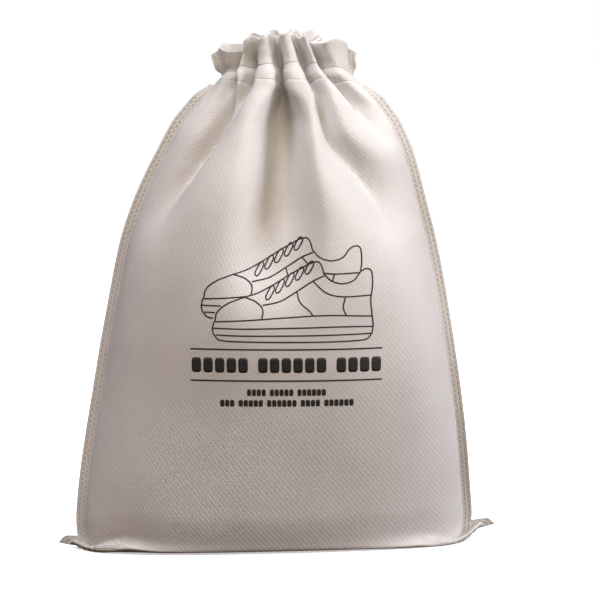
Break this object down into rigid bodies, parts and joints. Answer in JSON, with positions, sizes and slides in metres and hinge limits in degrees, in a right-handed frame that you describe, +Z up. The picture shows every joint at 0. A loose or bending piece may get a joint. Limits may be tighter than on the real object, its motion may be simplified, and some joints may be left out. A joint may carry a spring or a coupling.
{
  "type": "drawstring shoe bag",
  "caption": "Non-woven fabric drawstring bag for a pair of shoes, standing filled with its neck gathered closed, welded side seams and a plain line drawing on the front.",
  "frame": {"origin": "on the floor, under the middle of the standing bag's overall box", "axes": "+Z up from the base to the gathered neck, -Y towards the printed front, +X to the right as seen from the front"},
  "size_m": [0.27, 0.1171, 0.315],
  "materials": {
    "nonwoven_fabric": "matte, fine diagonal bond points",
    "welded_seam": "pressed flat, with two rows of embossed dashes",
    "black_ink": "screen-printed, matte"
  },
  "bodies": {
    "root": {"front_panel": "nonwoven_fabric", "back_panel": "nonwoven_fabric", "front_casing": "nonwoven_fabric", "back_casing": "nonwoven_fabric", "front_heading": "nonwoven_fabric", "back_heading": "nonwoven_fabric", "left_body_weld": "welded_seam", "right_body_weld": "welded_seam", "left_heading_weld": "welded_seam", "right_heading_weld": "welded_seam", "left_corner": "nonwoven_fabric", "right_corner": "nonwoven_fabric", "shoe_print": "black_ink", "title_print": "black_ink", "caption_print": "black_ink"}
  },
  "joints": []
}
